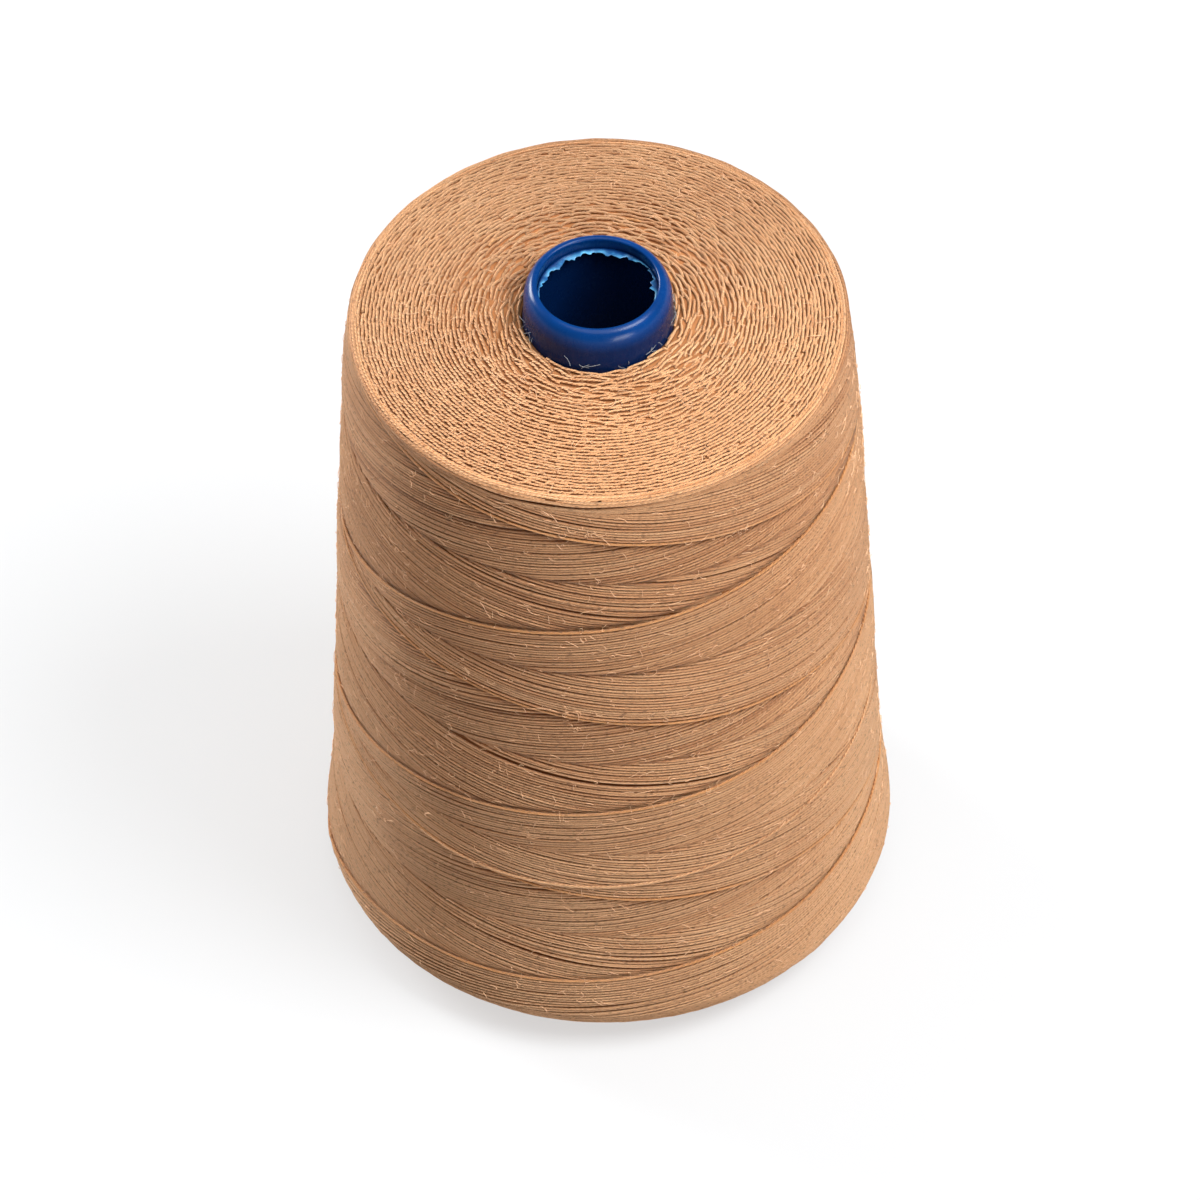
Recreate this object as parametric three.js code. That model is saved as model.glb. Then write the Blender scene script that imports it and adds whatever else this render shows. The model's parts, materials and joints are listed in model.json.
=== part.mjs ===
// Cone of heavy duty thread: tan thread wound crosswise on a hollow blue plastic core.
// Millimetres, Z up. The core stands on its wide end at Z = 0, with its axis on the Z axis.
import * as THREE from 'three';

const TURN = 2 * Math.PI;

// Plastic core: a hollow cone with a round lip at its narrow top end
const CORE_HEIGHT = 170;
const CORE_HALF_ANGLE = THREE.MathUtils.degToRad(3.5);
const CREST_RADIUS = 12.55; // the highest ring of the lip
const NOSE_ACROSS = 2.3; // the lip's outside is a quarter of an oval, this far across
const NOSE_DOWN = 4.7; // and this far down
const MOUTH_ROUND = 0.5; // radius of the lip's inner edge
const BASE_CHAMFER = 0.6;
const CORE_SIDES = 64;

// Wound thread: where it stands on the core, and its outline from the bottom edge to the rim
const WOUND_BOTTOM = 4.6;
const WOUND_HEIGHT = 155.8;
const WOUND_GAP = 0.3; // between the thread and the core
const WOUND_DOME = 1.2; // the top face is this much higher at the core than at its rim
const WOUND_SIDES = 60;
const SIDE_ROWS = 64;
const RIM_ROUND = 1.4; // radius of the top face's edge
const FOOT_ROUND = 6.8; // radius of the bottom face's edge
const SIDE_OUTLINE = [
  { height: 0.0, radius: 59.6 },
  { height: 0.05, radius: 59.1 },
  { height: 0.2, radius: 57.6 },
  { height: 0.4, radius: 56.0 },
  { height: 0.6, radius: 54.4 },
  { height: 0.75, radius: 53.1 },
  { height: 0.86, radius: 52.1 },
  { height: 0.94, radius: 51.1 },
  { height: 1.0, radius: 49.8 },
];

// Ribbons: the thread climbs and falls in helices, and each pass lies a little to the left of the
// one before, so the newest passes end in a raised step along one rising and one falling helix
const HELIX_PITCH = 51.5; // rise of the thread in one turn
const RISING_STEP_HEIGHT = 125.3; // where the rising step crosses the front, which is -Y
const FALLING_STEP_HEIGHT = 149.6; // where the falling step crosses the front
const STEP_THICKNESS = 1.0; // from the oldest passes to the newest
const STEP_SOFTNESS = 1.1; // the steps are drawn over this height above and below

// Torn film inside the core's mouth
const FILM_BELOW_LIP = 2.6;
const FILM_THICKNESS = 0.5;
const FILM_GAP = 0.3;
const FILM_WIDTH = 0.4; // where it is torn off closest to the core
const FILM_SIDES = 72;
const FILM_TABS = [
  { angle: 152, spread: 26, width: 0.7 },
  { angle: 132, spread: 8, width: 0.9 },
  { angle: 114, spread: 8, width: 0.9 },
  { angle: 96, spread: 16, width: 0.5 },
  { angle: 76, spread: 9, width: 1.1 },
  { angle: 57, spread: 11, width: 0.5 },
  { angle: 6, spread: 14, width: 0.9 },
  { angle: 262, spread: 7, width: 0.3 },
];

const fraction = (value) => value - Math.floor(value);

// A closed ring: the outline's points run up the outside, over the top, down the inside and
// back, and are carried around the Z axis. pointAt(row, angle) gives radius and height.
function ringGeometry(rows, sides, pointAt) {
  const positions = [];
  const faces = [];
  for (let row = 0; row < rows; row += 1) {
    for (let side = 0; side < sides; side += 1) {
      const angle = (side / sides) * TURN;
      const { radius, height } = pointAt(row, angle);
      positions.push(radius * Math.cos(angle), radius * Math.sin(angle), height);
      const nextRow = (row + 1) % rows;
      const nextSide = (side + 1) % sides;
      const here = row * sides + side;
      const right = row * sides + nextSide;
      const above = nextRow * sides + side;
      const aboveRight = nextRow * sides + nextSide;
      faces.push(here, right, aboveRight, here, aboveRight, above);
    }
  }
  const geometry = new THREE.BufferGeometry();
  geometry.setAttribute('position', new THREE.Float32BufferAttribute(positions, 3));
  geometry.setIndex(faces);
  geometry.computeVertexNormals();
  return geometry;
}

// Outside and inside radius of the core at a height above its base
const NOSE_LEVEL = CORE_HEIGHT - NOSE_DOWN;
const MOUTH_LEVEL = CORE_HEIGHT - MOUTH_ROUND;
function coreRadius(height) {
  return CREST_RADIUS + NOSE_ACROSS + (NOSE_LEVEL - height) * Math.tan(CORE_HALF_ANGLE);
}
function boreRadius(height) {
  return CREST_RADIUS - MOUTH_ROUND + (MOUTH_LEVEL - height) * Math.tan(CORE_HALF_ANGLE);
}

// Points on an arc of an oval, from one angle to another in degrees, with the first left out
function roundPoints(oval, fromDegrees, toDegrees, steps) {
  const points = [];
  for (let step = 1; step <= steps; step += 1) {
    const degrees = THREE.MathUtils.lerp(fromDegrees, toDegrees, step / steps);
    const angle = THREE.MathUtils.degToRad(degrees);
    points.push({
      radius: oval.radius + oval.across * Math.cos(angle),
      height: oval.height + oval.up * Math.sin(angle),
    });
  }
  return points;
}

function coreOutline() {
  const nose = { radius: CREST_RADIUS, height: NOSE_LEVEL, across: NOSE_ACROSS, up: NOSE_DOWN };
  const mouth = { radius: CREST_RADIUS, height: MOUTH_LEVEL, across: MOUTH_ROUND, up: MOUTH_ROUND };
  return [
    { radius: coreRadius(0) - BASE_CHAMFER, height: 0 },
    { radius: coreRadius(BASE_CHAMFER), height: BASE_CHAMFER },
    { radius: coreRadius(NOSE_LEVEL), height: NOSE_LEVEL },
    ...roundPoints(nose, 0, 90, 6),
    ...roundPoints(mouth, 90, 180, 3),
    { radius: boreRadius(0), height: 0 },
  ];
}

function coreMesh() {
  const outline = coreOutline();
  const geometry = ringGeometry(outline.length, CORE_SIDES, (row) => outline[row]);
  const plastic = new THREE.MeshStandardMaterial({ color: 0x1e58a6, roughness: 0.35, metalness: 0 });
  const mesh = new THREE.Mesh(geometry, plastic);
  mesh.name = 'cone_core';
  return mesh;
}

// Radius of the wound side, without its ribbons, at a height above the wound bottom
function sideRadius(height) {
  const share = THREE.MathUtils.clamp(height / WOUND_HEIGHT, 0, 1);
  const upper = Math.max(1, SIDE_OUTLINE.findIndex((point) => point.height >= share));
  const low = SIDE_OUTLINE[upper - 1];
  const high = SIDE_OUTLINE[upper];
  const part = (share - low.height) / (high.height - low.height);
  return THREE.MathUtils.lerp(low.radius, high.radius, part);
}

// How lately the thread was laid on a spot, from 0 to 1, by the newer of its two directions
function freshness(turns, height) {
  const rising = fraction((height - RISING_STEP_HEIGHT) / HELIX_PITCH - turns);
  const falling = fraction((FALLING_STEP_HEIGHT - height) / HELIX_PITCH - turns);
  return Math.max(rising, falling);
}

// Height of the ribbons over the plain side, softened across each step
function ribbonRelief(angle, height) {
  const turns = angle / TURN + 0.25; // counted from the front, counterclockwise from above
  const samples = [-1, -0.5, 0, 0.5, 1];
  let sum = 0;
  for (const sample of samples) {
    sum += freshness(turns, height + sample * STEP_SOFTNESS);
  }
  return STEP_THICKNESS * (sum / samples.length - 0.5);
}

// Heights of the wound side's rows, from above the bottom edge to below the rim
const SIDE_LOW = FOOT_ROUND;
const SIDE_HIGH = WOUND_HEIGHT - RIM_ROUND;
function sideRowHeight(row) {
  return THREE.MathUtils.lerp(SIDE_LOW, SIDE_HIGH, row / (SIDE_ROWS - 1));
}

// The rounded rim, the top face with its slight dome, the bore and the bottom face with its
// rounded edge, as points that do not depend on the angle
function endOutline() {
  const rimCentre = sideRadius(SIDE_HIGH) - RIM_ROUND;
  const topFaceHeight = WOUND_HEIGHT + WOUND_DOME;
  const boreTopRadius = coreRadius(WOUND_BOTTOM + topFaceHeight) + WOUND_GAP;
  const boreBottomRadius = coreRadius(WOUND_BOTTOM) + WOUND_GAP;
  const footCentre = sideRadius(SIDE_LOW) - FOOT_ROUND;
  const rim = { radius: rimCentre, height: SIDE_HIGH, across: RIM_ROUND, up: RIM_ROUND };
  const foot = { radius: footCentre, height: SIDE_LOW, across: FOOT_ROUND, up: FOOT_ROUND };
  const outline = roundPoints(rim, 0, 90, 3);
  for (const share of [0.25, 0.5, 0.75, 1]) {
    outline.push({
      radius: THREE.MathUtils.lerp(rimCentre, boreTopRadius, share),
      height: WOUND_HEIGHT + WOUND_DOME * Math.sin((share * Math.PI) / 2),
    });
  }
  outline.push({ radius: boreBottomRadius, height: 0 });
  outline.push({ radius: THREE.MathUtils.lerp(boreBottomRadius, footCentre, 0.5), height: 0 });
  outline.push({ radius: footCentre, height: 0 });
  outline.push(...roundPoints(foot, -90, 0, 3).slice(0, -1));
  return outline;
}

function threadMesh() {
  const ends = endOutline();
  const geometry = ringGeometry(SIDE_ROWS + ends.length, WOUND_SIDES, (row, angle) => {
    if (row < SIDE_ROWS) {
      const height = sideRowHeight(row);
      const radius = sideRadius(height) + ribbonRelief(angle, WOUND_BOTTOM + height);
      return { radius, height: WOUND_BOTTOM + height };
    }
    const end = ends[row - SIDE_ROWS];
    return { radius: end.radius, height: WOUND_BOTTOM + end.height };
  });
  const thread = new THREE.MeshStandardMaterial({ color: 0xc49468, roughness: 0.85, metalness: 0 });
  const mesh = new THREE.Mesh(geometry, thread);
  mesh.name = 'thread_package';
  return mesh;
}

// Width of the film that is left at an angle: a narrow edge with wider torn tabs
function filmWidth(angle) {
  const degrees = THREE.MathUtils.radToDeg(angle);
  let width = FILM_WIDTH;
  for (const tab of FILM_TABS) {
    const away = Math.abs(((degrees - tab.angle + 540) % 360) - 180);
    width += tab.width * Math.max(0, 1 - away / tab.spread);
  }
  return width;
}

function filmMesh() {
  const top = CORE_HEIGHT - FILM_BELOW_LIP;
  const bottom = top - FILM_THICKNESS;
  const outer = boreRadius(top) - FILM_GAP;
  const geometry = ringGeometry(4, FILM_SIDES, (row, angle) => {
    const isOuter = row < 2;
    const isTop = row === 1 || row === 2;
    return {
      radius: isOuter ? outer : outer - filmWidth(angle),
      height: isTop ? top : bottom,
    };
  });
  const film = new THREE.MeshStandardMaterial({ color: 0x5f9fd0, roughness: 0.4, metalness: 0 });
  const mesh = new THREE.Mesh(geometry, film);
  mesh.name = 'torn_seal';
  return mesh;
}

const cone = new THREE.Group();
cone.add(threadMesh());
cone.add(coreMesh());
cone.add(filmMesh());

export default cone;
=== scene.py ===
# %% [markdown]
# # A cone of heavy duty thread
# A thread cone is a hollow plastic cone with some kilometres of thread wound on it. The thread
# runs up and down quickly while the cone spins, so the side shows two sets of crossing helices in
# broad ribbons, and each end shows the short arcs where the thread turned back.
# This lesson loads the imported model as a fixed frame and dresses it: every turn that shows on the
# outside is a real swept thread, laid by the same rule that a winding machine follows.

# %% Load the frame
import json
import math

import bpy
import numpy as np
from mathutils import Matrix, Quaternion, Vector

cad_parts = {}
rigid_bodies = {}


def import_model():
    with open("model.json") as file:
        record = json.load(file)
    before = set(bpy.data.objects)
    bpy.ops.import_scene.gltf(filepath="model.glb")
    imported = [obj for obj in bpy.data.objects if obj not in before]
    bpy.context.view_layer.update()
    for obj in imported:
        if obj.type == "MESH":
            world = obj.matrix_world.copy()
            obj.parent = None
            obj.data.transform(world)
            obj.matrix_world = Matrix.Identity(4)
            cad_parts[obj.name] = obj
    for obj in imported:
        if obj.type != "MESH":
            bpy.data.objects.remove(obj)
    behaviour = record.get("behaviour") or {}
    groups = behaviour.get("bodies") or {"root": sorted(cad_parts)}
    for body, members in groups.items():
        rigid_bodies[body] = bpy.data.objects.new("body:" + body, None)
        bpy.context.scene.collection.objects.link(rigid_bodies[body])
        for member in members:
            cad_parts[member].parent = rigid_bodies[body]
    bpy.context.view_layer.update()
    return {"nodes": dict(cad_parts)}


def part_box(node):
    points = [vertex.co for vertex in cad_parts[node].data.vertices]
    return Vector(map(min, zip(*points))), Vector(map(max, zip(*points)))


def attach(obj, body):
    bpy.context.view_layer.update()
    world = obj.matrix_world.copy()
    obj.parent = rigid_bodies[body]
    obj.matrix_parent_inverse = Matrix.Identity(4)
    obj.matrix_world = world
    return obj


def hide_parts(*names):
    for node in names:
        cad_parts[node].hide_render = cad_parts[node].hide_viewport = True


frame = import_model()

MM = 0.001
box_of = {name: [np.array(corner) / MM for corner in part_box(name)] for name in frame["nodes"]}
print("nodes:", sorted(box_of), "in millimetres:", box_of["thread_package"])

# %% [markdown]
# The camera comes first, because it decides how fine the work has to be. It looks down at the
# front of the cone from a little under fifty degrees, from more than one and a half metres away
# through a long lens, and it leans by about one degree.

# %% Camera
CAMERA_PLACE = (-0.9, -1086.8, 1322.9)
CAMERA_DOWN = math.radians(48.96)
CAMERA_LEAN = math.radians(-1.23)
CAMERA_LENS = 240.0
SENSOR = 36.0


def add_object(name, data):
    thing = bpy.data.objects.new(name, data)
    bpy.context.scene.collection.objects.link(thing)
    return thing


def make_camera():
    lens = bpy.data.cameras.new("camera")
    lens.sensor_width = SENSOR
    lens.lens = CAMERA_LENS
    lens.clip_end = 20.0
    camera = add_object("camera", lens)
    camera.rotation_mode = "QUATERNION"
    tilt = Quaternion((1, 0, 0), math.pi / 2 - CAMERA_DOWN)
    camera.rotation_quaternion = tilt @ Quaternion((0, 0, 1), CAMERA_LEAN)
    camera.location = [value * MM for value in CAMERA_PLACE]
    bpy.context.scene.camera = camera
    return camera


camera = make_camera()
print("camera at", [round(value, 3) for value in camera.location])

# %% [markdown]
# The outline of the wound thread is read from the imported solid, so the dressed cone keeps its
# exact size. Each row of the solid's side gives a height and a mean radius; the raised ribbons
# average out.

# %% Outline of the wound side
SIDE_FROM = 45.0  # points further out than this belong to the side


def solid_points(node):
    mesh = frame["nodes"][node].data
    flat = np.empty(3 * len(mesh.vertices))
    mesh.vertices.foreach_get("co", flat)
    return flat.reshape(-1, 3) / MM


def measure_side():
    points = solid_points("thread_package")
    radius = np.hypot(points[:, 0], points[:, 1])
    outer = radius > SIDE_FROM
    heights = np.round(points[outer, 2], 1)
    rows = np.unique(heights)
    means = np.array([radius[outer][heights == row].mean() for row in rows])
    return rows, means


side_rows, side_means = measure_side()
FOOT, RIM = side_rows[0], side_rows[-1]


def side_radius(height):
    return np.interp(height, side_rows, side_means)


print(f"{len(side_rows)} rows from {FOOT} to {RIM} mm,",
      f"radius {side_means[0]:.1f} to {side_means[-1]:.1f}")

# %% [markdown]
# ## The winding rule
# One stroke is the thread's way from one end of the cone to the other, three turns of a helix.
# Each new stroke lies a thread's width to the left of the one before. So every spot on the side
# has been passed last by a rising stroke at one time and by a falling stroke at another, and the
# later of the two is what shows. Where the newest strokes end, the ribbon makes a step that runs
# around the cone as a helix. The functions below give the freshness of each direction, from 0 for
# the oldest stroke to 1 for the newest.

# %% Freshness
HELIX_PITCH = 51.5
RISING_FRONT = 125.3  # height at the front where the newest rising stroke passes
FALLING_FRONT = 149.6
STROKES = 70  # strokes of one direction until the cone is covered once
THREAD = 0.62  # diameter
SHIFT_ACROSS = 20.0  # degrees over which a shift fades
SHIFT_UP = 10.0  # millimetres over which a shift fades
SHIFT_REST = 0.15  # weight of the rule itself, against which the shifts are weighed
SHIFTS = {  # degrees from the front, height, and how far the real winding lies above the rule
    "rising": [
        (-80, 112, -4.0), (-60, 116, -1.6), (-20, 123, 1.2), (0, 125, 0.6), (40, 131, -0.4),
        (75, 135, -1.1), (-80, 62, -1.8), (-60, 65, 0.0), (-20, 70, -0.5), (20, 75, -2.7),
        (40, 78, -3.1), (75, 84, -1.4), (-60, 15, 2.9), (-20, 20, 1.5), (0, 22, 0.3),
        (20, 25, -1.3), (40, 27, -2.6), (70, 31, -2.7), (0, 138, 0.8), (0, 112, 0.9),
        (0, 86, 0.4), (0, 60, -0.7), (0, 34, -0.8),
    ],
    "falling": [
        (-40, 155, -1.2), (0, 149, -0.2), (20, 146, -0.6), (60, 140, -1.4), (75, 138, -1.3),
        (-60, 106, -1.1), (-40, 104, 1.3), (-10, 100, 1.1), (20, 95, 0.4), (60, 89, -0.2),
        (-60, 54, -2.1), (-30, 50, -0.6), (0, 46, 0.0), (30, 42, -0.6), (60, 38, 0.1),
        (0, 138, 0.8), (0, 112, 0.9), (0, 86, 0.4), (0, 60, -0.7), (0, 34, -0.8),
    ],
}


def ramp01(value, low, high):
    share = np.clip((value - low) / (high - low), 0, 1)
    return share * share * (3 - 2 * share)


def shift(way, turns, height):
    """The winder did not keep perfect time: how far the threads lie above their rule here."""
    degrees = 360 * turns
    total, weights = 0.0, SHIFT_REST
    for place, level, amount in SHIFTS[way]:
        across = (degrees - place + 180) % 360 - 180
        weight = np.exp(-0.5 * ((across / SHIFT_ACROSS) ** 2 + ((height - level) / SHIFT_UP) ** 2))
        total = total + weight * amount
        weights = weights + weight
    fade = ramp01(height, FOOT + 2, FOOT + 12) * (1 - ramp01(height, RIM - 9, RIM - 2))
    return fade * total / weights


def rising_freshness(turns, height):
    return ((height - shift("rising", turns, height) - RISING_FRONT) / HELIX_PITCH - turns) % 1.0


def falling_freshness(turns, height):
    return ((FALLING_FRONT - height + shift("falling", turns, height)) / HELIX_PITCH - turns) % 1.0


# %% [markdown]
# Fresh ribbons lie on older ones, so the surface is highest at the newest stroke and drops there
# to the oldest. The newest strokes sit proud as a bead, the old ones beside them are pressed in,
# and where both directions are equally fresh they pull each other down into a dotted ring.

# %% Lift of the ribbons
RIBBON_THICKNESS = 0.5
OLD_PLACE = 0.2  # ribbons older than this lie level
EDGE_BEAD = 0.2  # the newest strokes sit proud
CREVICE = 0.45  # the old strokes beside a step are pressed in
RING_DIP = 0.5  # where the two directions are equally fresh, they press each other in
WEDGE = 0.3  # where both directions are older than this, the ribbons fill the corner again
WEDGE_FILL = 0.5
SOFT_LOW = 0.45  # how strong the rings still are near the foot
CRISP_FROM, CRISP_TO = 40, 120  # heights between which they turn crisp
HALF_STEPS = {  # the winder's rhythm shifted half a covering ago: freshness, rise and dip there
    "rising": (0.55, 0.34, 0.8),
    "falling": (0.5, 0.1, 0.1),
}


def beside(distance, reach=0.7):
    """1 at an edge, fading over a reach in millimetres; the distance is in freshness."""
    return np.exp(-np.abs(distance) * HELIX_PITCH / reach)


def crispness(height):
    """The steps were pressed softer low down, where the cone is wide and the thread runs flat."""
    return SOFT_LOW + (1 - SOFT_LOW) * ramp01(height, CRISP_FROM, CRISP_TO)


def ribbon_lift(own, other, way, crisp):
    """Lift over the even surface, from the freshness of this direction and of the other."""
    place, rise, dip = HALF_STEPS[way]
    lift = RIBBON_THICKNESS * (np.maximum(own, OLD_PLACE) - 0.5) + EDGE_BEAD * beside(1 - own)
    past = own >= place
    lift = lift + np.where(past, rise * (1.6 - own), -dip * beside(own - place, 0.9))
    corner = np.clip(1 - own / WEDGE, 0, 1)
    lift = lift + WEDGE_FILL * corner - CREVICE * beside(other) * (1 - corner)
    return lift - RING_DIP * crisp * beside(own - other, 0.6) * (1 - corner)


def surface_lift(turns, height):
    rising = rising_freshness(turns, height)
    falling = falling_freshness(turns, height)
    crisp = crispness(height)
    return np.where(rising > falling, ribbon_lift(rising, falling, "rising", crisp),
                    ribbon_lift(falling, rising, "falling", crisp))


print(f"threads of {THREAD} mm, {HELIX_PITCH / STROKES:.2f} mm apart along the cone")

# %% [markdown]
# ## How a thread gets its body
# A path is only a line of points. A Geometry Nodes tree turns each path into a round thread: the
# line becomes a curve, a circle is swept along it, and the ends are capped. The tree also stores
# how far along and how far around each face lies, as the UV map from which the finish draws the
# twist. Sweeping keeps every thread round at any angle, which a displaced surface cannot do.

# %% Node helpers
def new_tree(name, inputs):
    """An empty tree with its named inputs, and the node that hands them out."""
    tree = bpy.data.node_groups.new(name, "GeometryNodeTree")
    for way in ("INPUT", "OUTPUT"):
        tree.interface.new_socket("Geometry", in_out=way, socket_type="NodeSocketGeometry")
    for label, (kind, value) in inputs.items():
        socket = tree.interface.new_socket(label, in_out="INPUT", socket_type="NodeSocket" + kind)
        if value is not None:
            socket.default_value = value
    return tree, tree.nodes.new("NodeGroupInput")


def set_inputs(tree, node, inputs):
    """Each input is a number, a colour, a name, or the output of another node."""
    for key, value in inputs.items():
        if hasattr(value, "node"):
            tree.links.new(value, node.inputs[key])
        else:
            node.inputs[key].default_value = value


def add_node(tree, kind, inputs=None, **settings):
    node = tree.nodes.new(kind)
    for key, value in settings.items():
        setattr(node, key, value)
    set_inputs(tree, node, inputs or {})
    return node


def step(tree, kind, inputs=None, **settings):
    """A node of which only the first output is used."""
    return add_node(tree, kind, inputs, **settings).outputs[0]


def named_value(tree, name, kind="FLOAT"):
    return step(tree, "GeometryNodeInputNamedAttribute", {"Name": name}, data_type=kind)


def store(tree, geometry, name, value, kind="FLOAT", domain="POINT"):
    return step(tree, "GeometryNodeStoreNamedAttribute",
                {"Geometry": geometry, "Name": name, "Value": value}, data_type=kind, domain=domain)


def maths(tree, how, first, second=None):
    inputs = {0: first} if second is None else {0: first, 1: second}
    return step(tree, "ShaderNodeMath", inputs, operation=how)


def close_tree(tree, given, geometry):
    """Every tree ends alike: smooth faces, no instances, and the finish."""
    smooth = step(tree, "GeometryNodeSetShadeSmooth", {"Geometry": geometry})
    real = step(tree, "GeometryNodeRealizeInstances", {"Geometry": smooth})
    dressed = step(tree, "GeometryNodeSetMaterial",
                   {"Geometry": real, "Material": given.outputs["Finish"]})
    add_node(tree, "NodeGroupOutput", {"Geometry": dressed})
    return tree


# %% The tree that sweeps threads
def make_sweep_tree():
    tree, given = new_tree("sweep_threads", {
        "Diameter": ("Float", THREAD * MM), "Sides": ("Int", 6), "Finish": ("Material", None),
    })
    curve = step(tree, "GeometryNodeMeshToCurve", {"Mesh": given.outputs["Geometry"]})
    curve = step(tree, "GeometryNodeSetCurveNormal",
                 {"Curve": curve, "Normal": named_value(tree, "outward", "FLOAT_VECTOR")},
                 mode="FREE")
    curve = step(tree, "GeometryNodeSetCurveRadius",
                 {"Curve": curve, "Radius": named_value(tree, "plump")})
    path_place = tree.nodes.new("GeometryNodeSplineParameter")
    curve = store(tree, curve, "along", path_place.outputs["Length"])
    circle = step(tree, "GeometryNodeCurvePrimitiveCircle",
                  {"Resolution": given.outputs["Sides"],
                   "Radius": maths(tree, "MULTIPLY", given.outputs["Diameter"], 0.5)})
    ring_place = tree.nodes.new("GeometryNodeSplineParameter")
    ring = store(tree, circle, "around", ring_place.outputs["Factor"])
    body = step(tree, "GeometryNodeCurveToMesh",
                {"Curve": curve, "Profile Curve": ring, "Fill Caps": True})
    along = maths(tree, "ADD", named_value(tree, "along"), named_value(tree, "start"))
    pair = step(tree, "ShaderNodeCombineXYZ", {"X": along, "Y": named_value(tree, "around")})
    return close_tree(tree, given, store(tree, body, "UVMap", pair, "FLOAT2", "CORNER"))


sweep_tree = make_sweep_tree()
print("sweep tree with", len(sweep_tree.nodes), "nodes")

# %% From paths to a finished piece
rng = np.random.default_rng(20)


def run_tree(piece, tree, inputs):
    modifier = piece.modifiers.new("nodes", "NODES")
    modifier.node_group = tree
    for item in tree.interface.items_tree:
        if item.in_out == "INPUT" and item.name in inputs:
            modifier[item.identifier] = inputs[item.name]
    evaluated = piece.evaluated_get(bpy.context.evaluated_depsgraph_get())
    mesh = bpy.data.meshes.new_from_object(evaluated)
    piece.modifiers.clear()
    old = piece.data
    piece.data = mesh
    bpy.data.meshes.remove(old)
    mesh.name = piece.name
    return piece


def thread_path(points, outward, tone=0.8, plump=1.0):
    """Points and outward are rows of x, y, z. Tone and plump may vary from row to row."""
    return {"points": points, "outward": outward, "tone": tone, "plump": plump}


def around_axis(radius, angle, height):
    return np.stack([radius * np.cos(angle), radius * np.sin(angle), height], axis=-1)


def path_object(name, paths):
    counts = [len(path["points"]) for path in paths]
    points = np.concatenate([path["points"] for path in paths]) * MM
    outward = np.concatenate([path["outward"] for path in paths])
    mesh = bpy.data.meshes.new(name)
    mesh.vertices.add(len(points))
    mesh.vertices.foreach_set("co", points.ravel())
    firsts = np.concatenate([[0], np.cumsum(counts)[:-1]])
    edges = np.concatenate([
        np.stack([np.arange(count - 1), np.arange(1, count)], axis=1) + first
        for count, first in zip(counts, firsts)
    ])
    mesh.edges.add(len(edges))
    mesh.edges.foreach_set("vertices", edges.ravel().astype(np.int32))
    values = {key: np.concatenate([np.broadcast_to(path[key], count)
                                   for count, path in zip(counts, paths)])
              for key in ("tone", "plump")}
    values["start"] = np.repeat(rng.uniform(0, 10 * MM, len(paths)), counts)
    for key, value in values.items():
        mesh.attributes.new(key, "FLOAT", "POINT").data.foreach_set("value", value)
    arrows = mesh.attributes.new("outward", "FLOAT_VECTOR", "POINT")
    arrows.data.foreach_set("vector", outward.ravel())
    mesh.update()
    return add_object(name, mesh)


def sweep(name, paths, finish, diameter=THREAD, sides=6):
    piece = path_object(name, paths)
    run_tree(piece, sweep_tree, {"Diameter": diameter * MM, "Sides": sides, "Finish": finish})
    faces = sum(len(polygon.vertices) - 2 for polygon in piece.data.polygons)
    print(f"{name}: {len(paths)} paths, {faces} triangles")
    return piece


# %% [markdown]
# ## The finish of the thread
# The thread is spun and dyed fibre: matt, a little silky along its length, and never quite the
# same tan from one stroke to the next. The colour is built in layers: a tone for each stroke, which
# also carries painted shade beside the steps, painted light low down and a painted glow at the edge
# of each ribbon; slow patches over the whole cone; pale flecks along the thread; and painted shade
# in small dark spots along the thread, in the creases between its plies and on its flanks, where
# they turn away from the outside. The bump has the plies and fine fibres. All that follows the
# thread is read from its UV map, so it never slides.

# %% Shader helpers
def new_finish(name):
    finish = bpy.data.materials.new(name)
    finish.use_nodes = True
    tree = finish.node_tree
    return finish, tree, tree.nodes["Principled BSDF"]


def blend_colours(tree, factor, first, second):
    node = add_node(tree, "ShaderNodeMix", {0: factor, 6: first, 7: second}, data_type="RGBA")
    return node.outputs[2]


def noise(tree, vector, scale, detail=3.0, roughness=0.5):
    return step(tree, "ShaderNodeTexNoise", {"Vector": vector, "Scale": scale, "Detail": detail,
                                             "Roughness": roughness})


def ramp(tree, source, stops):
    node = add_node(tree, "ShaderNodeValToRGB", {"Fac": source})
    band = node.color_ramp
    while len(band.elements) < len(stops):
        band.elements.new(0.5)
    for element, (place, colour) in zip(band.elements, stops):
        element.position = place
        element.color = colour
    return node.outputs["Color"]


def grey(value):
    return (value, value, value, 1.0)


def mask(tree, source, start, stop, last=1.0, first=0.0):
    """How much of a colour is laid on: first up to start, and last from stop."""
    return ramp(tree, source, [(start, grey(first)), (stop, grey(last))])


def fade(tree, source, start, stop, first, last=0.0):
    """A number that goes evenly from first to last between start and stop."""
    return step(tree, "ShaderNodeMapRange", {"Value": source, "From Min": start, "From Max": stop,
                                             "To Min": first, "To Max": last})


def stretched(tree, source, scale):
    return step(tree, "ShaderNodeMapping", {"Vector": source, "Scale": scale})


def bumps(tree, height, strength, depth):
    return step(tree, "ShaderNodeBump", {"Height": height, "Strength": strength, "Distance": depth})


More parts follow.
